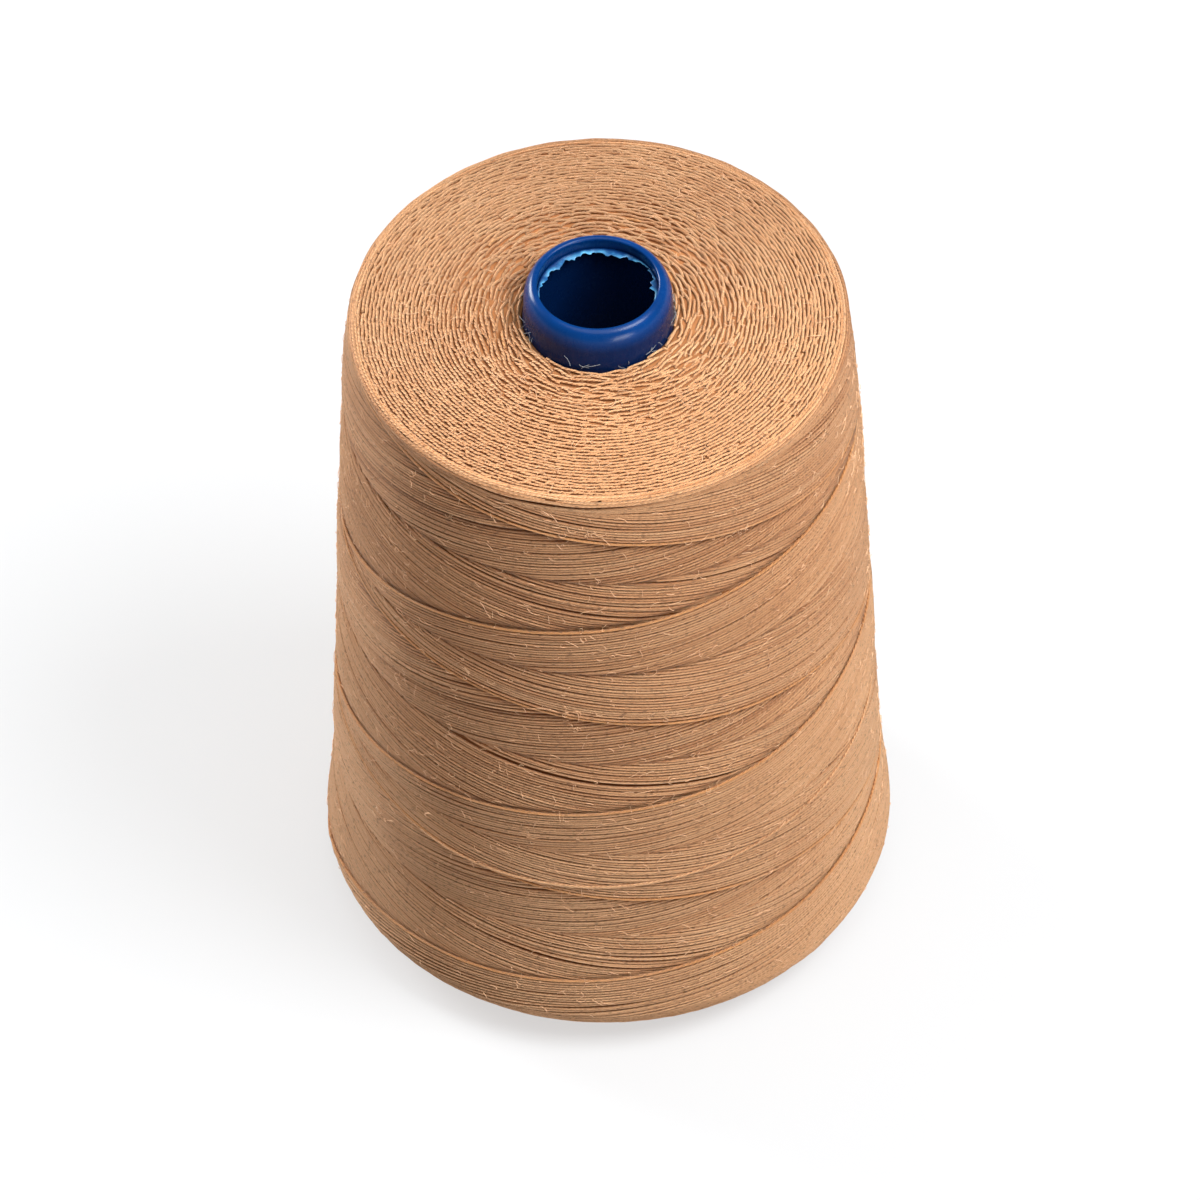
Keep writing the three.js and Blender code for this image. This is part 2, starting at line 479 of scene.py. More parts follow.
# %% Thread finish
TAN = (0.84, 0.43, 0.197, 1.0)
TAN_PALE = (0.94, 0.55, 0.285, 1.0)
TAN_DEEP = (0.62, 0.27, 0.105, 1.0)
TAN_SHADE = (0.25, 0.095, 0.032, 1.0)
# painted glow: a brighter orange for light shining through the threads at the edge of a ribbon
TAN_EDGE = (0.92, 0.42, 0.14, 1.0)  # threads at the edge of a ribbon, with light behind them
TONES = [(0.0, TAN_SHADE), (0.28, TAN_DEEP), (0.5, TAN), (0.8, TAN_PALE), (1.0, TAN_EDGE)]
PLY_TWIST = 3.3  # length of one twist of the plies, in millimetres
PLIES = 3
PATCH_SHADE = 0.35
FLECK_LIGHT = 0.5
PIT_SHADE = 0.7
CREASE_SHADE = 0.6
FLANK_SHADE = 0.42


def make_thread_finish():
    finish, tree, shader = new_finish("tan_thread")
    place = tree.nodes.new("ShaderNodeTexCoord")
    on_thread = place.outputs["UV"]
    tone = add_node(tree, "ShaderNodeAttribute", attribute_name="tone")
    colour = ramp(tree, tone.outputs["Fac"], TONES)
    patches = noise(tree, place.outputs["Object"], 45.0, 2.0)
    colour = blend_colours(tree, mask(tree, patches, 0.35, 0.7, PATCH_SHADE), colour, TAN_DEEP)
    flecks = noise(tree, stretched(tree, on_thread, (900, 2.5, 1)), 1.0, 2.0)
    colour = blend_colours(tree, mask(tree, flecks, 0.54, 0.75, FLECK_LIGHT), colour, TAN_PALE)
    # painted shade in short dark spots along the thread
    pits = noise(tree, stretched(tree, on_thread, (650, 1.7, 1)), 1.0, 1.0)
    colour = blend_colours(tree, mask(tree, pits, 0.6, 0.7, PIT_SHADE), colour, TAN_SHADE)
    apart = add_node(tree, "ShaderNodeSeparateXYZ", {"Vector": on_thread})
    along = maths(tree, "MULTIPLY", apart.outputs["X"], 1 / (PLY_TWIST * MM))
    turned = maths(tree, "ADD", along, apart.outputs["Y"])
    plies = maths(tree, "SINE", maths(tree, "MULTIPLY", turned, 2 * math.pi * PLIES))
    # painted shade in the creases between the plies
    colour = blend_colours(tree, fade(tree, plies, -1.0, 0.2, CREASE_SHADE), colour, TAN_DEEP)
    outward = add_node(tree, "ShaderNodeAttribute", attribute_name="outward")
    surface = tree.nodes.new("ShaderNodeNewGeometry")
    facing = add_node(tree, "ShaderNodeVectorMath",
                      {0: outward.outputs["Vector"], 1: surface.outputs["Normal"]},
                      operation="DOT_PRODUCT")
    # painted shade on the flanks, where a thread turns away from the outside
    flank = fade(tree, facing.outputs["Value"], 0.1, 0.72, FLANK_SHADE)
    colour = blend_colours(tree, flank, colour, TAN_SHADE)
    fibres = noise(tree, stretched(tree, on_thread, (2500, 9, 1)), 1.0, 2.0)
    set_inputs(tree, shader, {
        "Base Color": colour, "Roughness": 0.62, "Specular IOR Level": 0.35,
        "Sheen Weight": 0.2, "Sheen Roughness": 0.45, "Sheen Tint": (1.0, 0.86, 0.72, 1.0),
        "Normal": bumps(tree, maths(tree, "ADD", plies, fibres), 1.0, 0.00008),
    })
    return finish


thread_finish = make_thread_finish()
print("thread finish with", len(thread_finish.node_tree.nodes), "nodes")

# %% [markdown]
# ## The strokes on the side
# Each stroke is followed through its three turns. Only the stretches where it is the fresher of
# the two directions are swept, with a little more at both ends, where it dips under its
# neighbours. Small wanders and a tone of its own keep each stroke from looking printed.

# %% Course of a stroke
STEPS_PER_TURN = 144
WANDER = 0.05
FLUTTER = 0.055  # short uneven places, where neighbours part or touch
STRAYS = 0.02  # share of strokes that wander and ride up over their neighbours
STRAY_WANDER, STRAY_RIDE = 0.25, 0.14
END_ROUND = 1.6  # how softly a stroke turns level at the ends
END_RUN = 6  # level steps at each end
RAGGED_RIM, RAGGED_FOOT = 2.2, 2.0  # over this height the strokes end unevenly


def smooth_wander(count, size, reach=11):
    rough = rng.normal(0, 1, count + 2 * reach)
    window = np.hanning(2 * reach + 1)
    soft = np.convolve(rough, window / np.sqrt((window ** 2).sum()), "valid")
    return size * soft[:count]


def soft_limit(distance):
    """Distance to an end of the cone, turned level instead of passing below zero."""
    return 0.5 * (distance + np.sqrt(distance ** 2 + END_ROUND ** 2))


def stroke_course(rising, index):
    """Turns and heights of one stroke from the foot to the rim, or from the rim to the foot."""
    freshness = (index + 0.5) / STROKES
    over = END_RUN / STEPS_PER_TURN
    span = (RIM - FOOT) / HELIX_PITCH + 2 * over
    count = int(span * STEPS_PER_TURN)
    climb = (np.arange(count) / STEPS_PER_TURN - over) * HELIX_PITCH
    if rising:
        height = FOOT + climb
        turns = (height - RISING_FRONT) / HELIX_PITCH - freshness
    else:
        height = RIM - climb
        turns = (FALLING_FRONT - height) / HELIX_PITCH - freshness
    ruled = height
    for _ in range(3):
        height = ruled + shift("rising" if rising else "falling", turns, height)
    stray = rng.random() < STRAYS
    height = height + smooth_wander(count, WANDER, 22) + smooth_wander(count, FLUTTER, 6)
    height = height + rng.normal(0, WANDER) + stray * smooth_wander(count, STRAY_WANDER, 60)
    top = RIM - 1.5 * THREAD - rng.uniform(0, RAGGED_RIM)
    low = FOOT + 0.5 * THREAD + rng.uniform(0, RAGGED_FOOT)
    height = top - soft_limit(top - height)
    height = low + soft_limit(height - low)
    return turns, height, freshness, STRAY_RIDE * stray


# %% Place on the side
SET_IN = 0.6  # the even surface of the solid runs through the crests of the ribbons
FOOT_FULL = 1.15  # the lowest turns bulge out again by this much


def inset(height):
    return SET_IN - FOOT_FULL * (1 - ramp01(height, 5, 28))


def on_side(turns, height, lift):
    """Points on the side at a lift over its even surface, and the directions outwards."""
    radius = side_radius(height) + lift - inset(height) - 0.5 * THREAD
    angle = 2 * math.pi * turns - math.pi / 2
    return around_axis(radius, angle, height), around_axis(1.0, angle, 0.0 * angle)


# %% Lay the strokes
TUCK = 4  # steps that a stroke runs on under its neighbours
TUCK_DEPTH = 0.45
SHORTEST = 8  # steps; shorter stretches are left out
TONE_HIGH, TONE_SPREAD = 0.53, 0.09  # near the rim, and from stroke to stroke
TONE_LOW = 0.27  # painted light: the cone is painted this much paler low down
TONE_TOP = 0.8  # all but the newest stroke stay below the painted glow of an edge
STEP_GLOOM = 0.95  # painted shade on the old strokes beside a step
HALF_GLOOM = 1.6  # painted shade beside a half step, for each millimetre of its dip
RING_GLOOM = (0.5, 1.5)  # painted shade in a dotted ring, from stroke to stroke
NEWEST_PLUMP = 1.4
LOW_PLUMP = 0.14  # the turns lie looser low down and fill their places


def grow(shown, steps):
    wide = shown.copy()
    for away in range(1, steps + 1):
        wide[away:] |= shown[:-away]
        wide[:-away] |= shown[away:]
    return wide


def stroke_paths(rising, index):
    turns, height, freshness, ride = stroke_course(rising, index)
    count = len(turns)
    way = "rising" if rising else "falling"
    newest = index == STROKES - 1
    other = (falling_freshness if rising else rising_freshness)(turns, height)
    shown = other < freshness
    crisp = crispness(height)
    lift = ribbon_lift(freshness, np.where(shown, other, freshness), way, crisp) + ride
    lift = lift + smooth_wander(count, 0.035, 7)
    depth = sum((~grow(shown, steps)).astype(float) for steps in range(TUCK)) / TUCK
    points, outward = on_side(turns, height, lift - TUCK_DEPTH * depth)
    # the newest stroke takes the painted glow of an edge
    tone = 1.0
    if not newest:
        # painted light: the tone is paler low down on the cone
        tone = rng.normal(TONE_HIGH, TONE_SPREAD) + TONE_LOW * (1 - ramp01(height, 20, 130))
    half_place, _, half_dip = HALF_STEPS[way]
    near_half = (freshness < half_place) * beside(freshness - half_place, 1.1)
    # painted shade: the tone darkens beside a step, beside a half step and in the dotted rings
    gloom = STEP_GLOOM * beside(other, 0.8) + HALF_GLOOM * half_dip * near_half
    gloom = crisp * (gloom + rng.uniform(*RING_GLOOM) * beside(freshness - other, 0.5))
    tone = np.clip(tone - gloom + smooth_wander(count, 0.06, 5), 0, 1.0 if newest else TONE_TOP)
    plump = rng.normal(NEWEST_PLUMP if newest else 1.0, 0.03)
    plump = plump + LOW_PLUMP * (1 - ramp01(height, 20, 120))
    kept = grow(shown, TUCK).astype(int)
    borders = np.flatnonzero(np.diff(np.concatenate([[0], kept, [0]])))
    stretches = [slice(*ends) for ends in borders.reshape(-1, 2) if np.ptp(ends) >= SHORTEST]
    return [thread_path(points[part], outward[part], tone[part], plump[part]) for part in stretches]


rising_paths = [path for index in range(STROKES) for path in stroke_paths(True, index)]
falling_paths = [path for index in range(STROKES) for path in stroke_paths(False, index)]
rising_threads = sweep("rising_threads", rising_paths, thread_finish, sides=5)
falling_threads = sweep("falling_threads", falling_paths, thread_finish, sides=5)

# %% [markdown]
# The very last lap lies on top of everything. At the front it leaves the falling step, runs
# nearly level, and climbs away to the right, so it stands out as one bright strand. It keeps no
# rule, so a few places are given and a smooth curve is laid through them.

# %% The last lap
LAP_TONE, LAP_PLUMP = 0.82, 1.2
LAST_LAP = [  # degrees from the front, height, how far it stands over the ribbons
    (-125, 61.0, -0.6), (-100, 58.0, 0.1), (-63, 53.6, 0.3), (-30, 50.4, 0.5), (-6, 50.7, 0.55),
    (23, 51.9, 0.55), (46, 54.0, 0.55), (69, 57.6, 0.55), (105, 64.1, 0.5), (140, 69.6, 0.2),
    (165, 73.6, -0.6),
]


def last_lap_path():
    degrees, heights, stands = np.array(LAST_LAP).T
    fine = np.arange(degrees[0], degrees[-1], 3.0)
    bend = np.polynomial.Polynomial.fit(degrees, heights, 6)
    height = bend(fine)
    turns = fine / 360
    lift = surface_lift(turns, height) + np.interp(fine, degrees, stands)
    soft = np.convolve(np.pad(lift, 2, "edge"), np.ones(5) / 5, "valid")
    return thread_path(*on_side(turns, height, soft), LAP_TONE, LAP_PLUMP)


last_lap = sweep("last_lap", [last_lap_path()], thread_finish)

# %% [markdown]
# Spun thread is hairy: single fibres stand off it everywhere, and short broken ones lie on it in
# hooks and small loops. Hair curves would be no mesh, and the export would drop them, so the
# fibres are swept like the threads, only much thinner and with three sides.

# %% Loose fibres on the side
SIDE_FIBRES = 2500
FIBRE = 0.13  # diameter
FIBRE_POINTS = 7
FUZZ = (0.80, 0.43, 0.21, 1.0)
FUZZ_BRIGHT = (0.93, 0.62, 0.39, 1.0)


def fibre_line(length, bend):
    """A short hooked line on a flat sheet: steps across and up, and how high it arches."""
    share = np.linspace(0, 1, FIBRE_POINTS)
    heading = rng.uniform(0, 2 * math.pi) + bend * share + rng.uniform(-1, 1) * share ** 2
    stride = length / (FIBRE_POINTS - 1)
    across = np.cumsum(stride * np.cos(heading))
    up = np.cumsum(0.8 * stride * np.sin(heading))
    return across, up, rng.uniform(0.0, 0.25) * np.sin(math.pi * share)


def side_fibres():
    paths = []
    for _ in range(SIDE_FIBRES):
        across, up, arch = fibre_line(rng.uniform(1.0, 3.4), rng.normal(0, 2.4))
        height = np.clip(rng.uniform(FOOT + 6, RIM - 3) + up, FOOT + 4, RIM - 1)
        turns = rng.uniform() + across / (2 * math.pi * side_radius(height))
        lift = surface_lift(turns, height) + 0.5 * THREAD + 0.06 + arch
        points, outward = on_side(turns, height, lift)
        paths.append(thread_path(points, outward, plump=rng.uniform(0.6, 1.1)))
    return paths


def make_fibre_finish(name, dull, bright):
    finish, tree, shader = new_finish(name)
    place = tree.nodes.new("ShaderNodeTexCoord")
    mottle = noise(tree, place.outputs["Object"], 800.0, 2.0)
    set_inputs(tree, shader, {"Base Color": blend_colours(tree, mottle, dull, bright),
                              "Roughness": 0.7})
    return finish


fuzz_finish = make_fibre_finish("tan_fuzz", FUZZ, FUZZ_BRIGHT)
side_fuzz = sweep("side_fibres", side_fibres(), fuzz_finish, FIBRE, sides=3)

# %% [markdown]
# ## The two ends
# At each end the thread turns back. What shows there is the crest of every turn: an arc of about
# half a centimetre that lies nearly along the circle, with both ends sinking between its
# neighbours. The arcs overlap like roof tiles from the core outwards. They lie coarse and deep
# near the core, and close and even near the rim. A displaced disc would show grooves but no
# crossing ends, so each arc is a swept thread too.

# %% Form of the top face
FACE_RISE = box_of["thread_package"][1][2] - RIM  # the face is this much higher at the core
CORE_ROUND = 16.0  # where the innermost arcs lie
RIM_ROUND = 1.4
RIM_EDGE = side_radius(RIM - RIM_ROUND) - RIM_ROUND  # where the face starts to round off


def face_height(radius):
    """Height of the top face over the rim level."""
    share = np.clip((RIM_EDGE - radius) / (RIM_EDGE - CORE_ROUND), 0, 1)
    past = np.clip(radius - RIM_EDGE, 0, RIM_ROUND)
    drop = RIM_ROUND - np.sqrt(RIM_ROUND ** 2 - past ** 2)
    return FACE_RISE * np.sin(share * math.pi / 2) - drop


def face_swell(radius, angle):
    """Slow unevenness of the face, strongest near the core at the back."""
    near = 1 - ramp01(radius, 18, 40)
    swell = 0.22 * np.sin(3 * angle + 0.25 * radius) + 0.18 * np.sin(7 * angle - 0.4 * radius + 1)
    return swell * (0.25 + 0.9 * near)


print(f"top face: edge at {RIM_EDGE:.1f} mm, {FACE_RISE:.1f} mm higher at the core")

# %% Lay the arcs
ARC_POINTS = 7
ARC_LENGTH = 4.2
ARC_STEP = 0.74  # from one middle to the next, in lengths
ARC_SPACING = 0.76  # from ring to ring
COARSE_FROM, COARSE_TO = 18, 38  # radii between which the face turns from coarse to fine
CALM = 0.9  # how much flatter the face was pressed at the front, and how much darker its arcs are painted there, as painted shade
ARCS_INNER, ARCS_OUTER = CORE_ROUND - 0.1, 48.7


def arc_path(end, radius, height, middle, half_length, lean, sink, bends, tone, plump):
    level, up = end
    along = np.linspace(-1, 1, ARC_POINTS)
    angle = middle + half_length / radius * along
    away = radius + lean * along + bends * np.sin(math.pi * along)
    rise = height - sink * np.abs(along) ** 2.4 - 0.5 * THREAD * plump
    if up > 0:
        rise = rise + face_height(away) + face_swell(away, angle)
    return thread_path(around_axis(away, angle, level + up * rise),
                       np.tile([0.0, 0.0, up], (ARC_POINTS, 1)), np.clip(tone, 0, 1), plump)


def end_arcs(end, inner, outer, grain=1.0):
    """Arcs ring by ring. An end has a level and a way up; near the core it is coarser."""
    arcs = []
    radius = inner
    while radius < outer:
        near = float(1 - ramp01(radius, COARSE_FROM, COARSE_TO))  # 1 at the core
        length = (ARC_LENGTH + 0.8 * near) * grain
        count = int(2 * math.pi * radius / (length * ARC_STEP))
        first = rng.uniform(0, 2 * math.pi)
        for place in range(count):
            middle = first + 2 * math.pi * (place + rng.uniform(-0.25, 0.25)) / count
            front = max(0.0, -math.sin(middle))
            calm = 1 - CALM * front * (1 - 0.6 * near)
            lean = rng.choice([-1, 1]) * (0.05 + 0.24 * near) + 0.06 + 0.1 * near
            arcs.append(arc_path(
                end, radius + rng.normal(0, 0.03 + 0.06 * near),
                rng.normal(0.0, 0.03 + 0.2 * near) * calm, middle,
                0.5 * length * rng.uniform(0.85, 1.25),
                (lean + rng.normal(0, 0.05)) * grain, (0.2 + 0.42 * near) * grain * calm,
                rng.normal(0, 0.1 + 0.05 * near),
                # painted shade: the arcs at the front are given a darker, more even tone
                rng.normal(0.61 - 0.09 * (1 - calm), (0.1 + 0.06 * near) * calm),
                rng.normal(1.44 + 0.66 * near + 0.4 * (1 - calm), 0.05) * grain,
            ))
        radius += (ARC_SPACING + 0.3 * near) * grain
    return arcs


top_arcs = end_arcs((RIM, 1.0), ARCS_INNER, ARCS_OUTER)
top_face = sweep("top_face_arcs", top_arcs, thread_finish, sides=5)

# %% [markdown]
# The rim is where the last arcs bend over onto the side. Four rows of long, slightly swaying
# threads follow its rounding, so that the face and the side meet without a seam.

# %% Lay the rim
RIM_ROWS = (-20, 10, 40, 70)  # degrees round the rim's edge, from the face to the side
RIM_LENGTHS = 9  # threads in a row
RIM_POINTS = 31
RIM_SWAY = 0.05
RIM_PLUMP = 0.92


def rim_paths():
    paths = []
    along = np.linspace(-1, 1, RIM_POINTS)
    for degrees in RIM_ROWS:
        slope = math.radians(degrees)
        over, up = math.sin(slope), math.cos(slope)
        for place in range(RIM_LENGTHS):
            middle = 2 * math.pi * (place + rng.uniform(-0.2, 0.2)) / RIM_LENGTHS + slope
            angle = middle + math.pi / RIM_LENGTHS * rng.uniform(0.9, 1.6) * along
            sink = 0.5 * np.abs(along) ** 12 + 0.5 * THREAD
            away = RIM_EDGE + (RIM_ROUND - sink) * over + smooth_wander(RIM_POINTS, RIM_SWAY, 3)
            height = RIM - RIM_ROUND + (RIM_ROUND - sink) * up
            height = height + smooth_wander(RIM_POINTS, RIM_SWAY, 3)
            paths.append(thread_path(
                around_axis(away, angle, height), around_axis(over, angle, up + 0 * angle),
                np.clip(rng.normal(0.5, 0.16), 0, TONE_TOP), RIM_PLUMP,
            ))
    return paths


rim_threads = sweep("rim_threads", rim_paths(), thread_finish, sides=5)

# %% [markdown]
# The top face is hairy too, and fibres cling to the collar of the core, where the thread rubbed.
# On the face they are laid with the same hooked line as on the side. On the collar they stand up
# from the thread, a little curved, and lean on the plastic.

# %% Loose fibres on the top face and the collar
FACE_FIBRES = 420
COLLAR_FIBRES = 40
LINT = (0.15, 0.16, 0.18, 1.0)
LINT_BRIGHT = (0.34, 0.33, 0.33, 1.0)
COLLAR_RADIUS = 15.2
COLLAR_TAPER = 0.061


def face_fibres():
    paths = []
    for _ in range(FACE_FIBRES):
        across, up, arch = fibre_line(rng.uniform(1.2, 3.5), rng.normal(0, 2.0))
        radius, angle = math.sqrt(rng.uniform(17.0 ** 2, 47.0 ** 2)), rng.uniform(0, 2 * math.pi)
        x = radius * math.cos(angle) + across
        y = radius * math.sin(angle) + up
        away = np.clip(np.hypot(x, y), 16.5, 48.0)
        turn = np.arctan2(y, x)
        height = RIM + face_height(away) + face_swell(away, turn) + 0.08 + arch
        paths.append(thread_path(around_axis(away, turn, height),
                                 np.tile([0.0, 0.0, 1.0], (FIBRE_POINTS, 1))))
    return paths


def collar_fibres():
    paths = []
    share = np.linspace(0, 1, FIBRE_POINTS)
    for _ in range(COLLAR_FIBRES):
        angle = rng.uniform(0, 2 * math.pi) + rng.normal(0, 0.1) * share
        angle = angle + rng.normal(0, 0.05) * share ** 3
        length = rng.uniform(0.3, 1.5)
        height = RIM + FACE_RISE + rng.uniform(-0.3, 0.6) + length * share
        away = COLLAR_RADIUS + 0.05 + rng.uniform(0.0, 0.9) * (1 - share) ** 1.5
        away = away + rng.uniform(0, 0.3) * np.sin(math.pi * share) - COLLAR_TAPER * (height - RIM)
        paths.append(thread_path(around_axis(away, angle, height),
                                 around_axis(1.0, angle, 0.0 * angle),
                                 plump=rng.uniform(0.12, 0.26)))
    return paths


top_fuzz = sweep("top_fibres", face_fibres(), fuzz_finish, FIBRE, sides=3)
lint_finish = make_fibre_finish("pale_lint", LINT, LINT_BRIGHT)
collar_lint = sweep("collar_lint", collar_fibres(), lint_finish, FIBRE, sides=3)

# %% [markdown]
# The lower end is seen only when the cone is lifted or tipped. Its arcs are laid by the same rule,
# with a coarser grain, because nobody comes as close to it.

# %% Arcs of the lower end
LOW_GRAIN = 1.3
LOW_INNER, LOW_OUTER = 26.0, 53.5
low_arcs = end_arcs((FOOT, -1.0), LOW_INNER, LOW_OUTER, LOW_GRAIN)
low_face = sweep("low_face_arcs", low_arcs, thread_finish, sides=5)

# %% [markdown]
# ## The body under the turns
# Between the outermost turns one sees the layers below them. Sweeping those too would double the
# work for what shows only in gaps. So they are one closed body, set a thread's width under the
# surface, that follows the same rules for the lift of the ribbons and the form of the face.

# %% The wound body
BODY_SIDES = 240
BODY_ROWS = 150
FACE_ROWS = 24
BODY_DEPTH = 0.75  # under the middle of the turns on the side
FACE_DEPTH = 0.9
CORE_DEPTH = 0.25  # and this much deeper close to the core
FACE_EDGE = 48.6  # radius at which the body turns onto the face
LOW_RISE = 1.2  # the lower end stays this far above the arcs


def ring_mesh(name, radius, angle, height):
    """A closed ring: arrays with a row for each step round the outline and a column per side."""
    rows, sides = radius.shape
    points = around_axis(radius, angle, height) * MM
    row, side = np.meshgrid(np.arange(rows), np.arange(sides), indexing="ij")
    next_row, next_side = (row + 1) % rows, (side + 1) % sides
    faces = np.stack([row * sides + side, row * sides + next_side,
                      next_row * sides + next_side, next_row * sides + side], axis=2)
    mesh = bpy.data.meshes.new(name)
    mesh.from_pydata(points.reshape(-1, 3), [], faces.reshape(-1, 4))
    mesh.shade_smooth()
    mesh.update()
    return mesh


def lowest_around(values):
    low = values.copy()
    for axis in (0, 1):
        low = np.minimum(low, np.minimum(np.roll(low, 1, axis), np.roll(low, -1, axis)))
    return low


def bore_ends():
    """Radius and height of the solid's bore at the top and at the foot."""
    points = solid_points("thread_package")
    radius = np.hypot(points[:, 0], points[:, 1])
    for level in (points[:, 2].max(), points[:, 2].min()):
        yield radius[np.abs(points[:, 2] - level) < 0.05].min(), level


def body_mesh():
    (bore_top, _), (bore_low, low_level) = bore_ends()
    angle_row = 2 * math.pi * np.arange(BODY_SIDES) / BODY_SIDES
    heights = np.linspace(FOOT + LOW_RISE, RIM - FACE_DEPTH - 0.6, BODY_ROWS)
    height, angle = np.meshgrid(heights, angle_row, indexing="ij")
    lift = lowest_around(surface_lift(angle / (2 * math.pi) + 0.25, height))
    side = side_radius(height) + lift - inset(height) - BODY_DEPTH - 0.5 * THREAD
    face = np.repeat(np.linspace(FACE_EDGE, bore_top, FACE_ROWS)[:, None], BODY_SIDES, axis=1)
    face_level = RIM + face_height(face) + face_swell(face, angle_row) - FACE_DEPTH
    face_level = face_level - CORE_DEPTH * (1 - ramp01(face, 18, 34))
    low = np.repeat(np.array([bore_low, 40.0, 54.5])[:, None], BODY_SIDES, axis=1)
    radius = np.concatenate([side, face, low])
    height = np.concatenate([height, face_level, np.full(low.shape, low_level + LOW_RISE)])
    return ring_mesh("wound_body", radius, np.broadcast_to(angle_row, radius.shape), height)


# %% Finish of the body under the turns
def make_shade_finish():
    finish, tree, shader = new_finish("tan_thread_shade")
    place = tree.nodes.new("ShaderNodeTexCoord")
    layers = noise(tree, stretched(tree, place.outputs["Object"], (150, 150, 1500)), 1.0, 2.0)
    # painted shade: the body is a darker copy of the thread's tan, for the layers seen in the gaps
    colour = blend_colours(tree, mask(tree, layers, 0.35, 0.65, 0.6, 0.2), TAN_SHADE, TAN_DEEP)
    set_inputs(tree, shader, {"Base Color": colour, "Roughness": 0.85, "Specular IOR Level": 0.2})
    return finish


wound_body = add_object("wound_body", body_mesh())
wound_body.data.materials.append(make_shade_finish())
print("wound body:", len(wound_body.data.polygons), "faces")

# %% [markdown]
# ## The core
# Cones are moulded from polypropylene: satin, a little see-through at thin edges, and soon full of
# fine scratches from the stands they are carried on. The outline is turned round the axis, as a
# mould maker would turn it: a plain cone, a full round lip, and a small inner edge. Geometry Nodes
# turn it, because the number of sides then stays a value that can be changed.

# %% The outline of the core
CORE_TALL = 170.0
CORE_TAPER = math.tan(math.radians(3.5))
CREST = 12.55  # radius of the highest ring of the lip
NOSE_ACROSS, NOSE_DOWN = 2.3, 4.7  # the lip's outside is a quarter of an oval
MOUTH = 0.5  # radius of the lip's inner edge
CHAMFER = 0.6
NOSE_LEVEL = CORE_TALL - NOSE_DOWN
MOUTH_LEVEL = CORE_TALL - MOUTH


def core_radius(height):
    return CREST + NOSE_ACROSS + (NOSE_LEVEL - height) * CORE_TAPER


def bore_radius(height):
    return CREST - MOUTH + (MOUTH_LEVEL - height) * CORE_TAPER


def oval(level, across, down, start, end, count):
    angle = np.radians(np.linspace(start, end, count))
    return np.stack([CREST + across * np.cos(angle), level + down * np.sin(angle)], axis=1)


def core_outline():
    wall = [(core_radius(level), level) for level in np.linspace(CHAMFER, NOSE_LEVEL - 1, 24)]
    bore = [(bore_radius(level), level) for level in np.linspace(MOUTH_LEVEL - 1, 0, 24)]
    return np.concatenate([
        [(core_radius(0) - CHAMFER, 0)], wall,
        oval(NOSE_LEVEL, NOSE_ACROSS, NOSE_DOWN, 0, 90, 22),
        oval(MOUTH_LEVEL, MOUTH, MOUTH, 98, 180, 8), bore,
    ])


# %% The tree that turns an outline
CORE_SIDES = 160
TURN_RADIUS = 20.0  # the path of the turning; outlines are given from here


def make_turning_tree():
    tree, given = new_tree("turn_outline", {
        "Sides": ("Int", CORE_SIDES), "Path Radius": ("Float", TURN_RADIUS * MM),
        "Finish": ("Material", None),
    })
    outline = step(tree, "GeometryNodeMeshToCurve", {"Mesh": given.outputs["Geometry"]})
    circle = step(tree, "GeometryNodeCurvePrimitiveCircle",
                  {"Resolution": given.outputs["Sides"], "Radius": given.outputs["Path Radius"]})
    path = step(tree, "GeometryNodeSetCurveNormal", {"Curve": circle}, mode="Z_UP")
    body = step(tree, "GeometryNodeCurveToMesh", {"Curve": path, "Profile Curve": outline})
    return close_tree(tree, given, step(tree, "GeometryNodeFlipFaces", {"Mesh": body}))


turning_tree = make_turning_tree()


def turn_outline(name, outline, finish):
    count = len(outline)
    flat = np.stack([outline[:, 0] - TURN_RADIUS, -outline[:, 1], np.zeros(count)], axis=1) * MM
    mesh = bpy.data.meshes.new(name)
    loop = [(index, (index + 1) % count) for index in range(count)]
    mesh.from_pydata(flat, loop, [])
    return run_tree(add_object(name, mesh), turning_tree, {"Sides": CORE_SIDES, "Finish": finish})


# %% [markdown]
# The plastic is a saturated blue with a soft coat of gloss, with painted shade from the lip down.
# Fine noise stands for its scratches, and specks of pale lint gather on the collar just over the
# thread.

# %% Core finish
BLUE = (0.0006, 0.038, 0.180, 1.0)
BLUE_DEEP = (0.0005, 0.027, 0.130, 1.0)
# painted shade below the lip
BLUE_DARK = (0.001, 0.011, 0.055, 1.0)
COLLAR_FROM, COLLAR_FULL = 0.1661, 0.1618  # metres; lint thickens from the first to the second
LIP_FROM, LIP_FULL = 0.1684, 0.1652  # painted shade under the lip
LINT_OUTSIDE, LINT_ABOVE = 0.0135, 0.155  # no lint inside the bore, nor under the thread


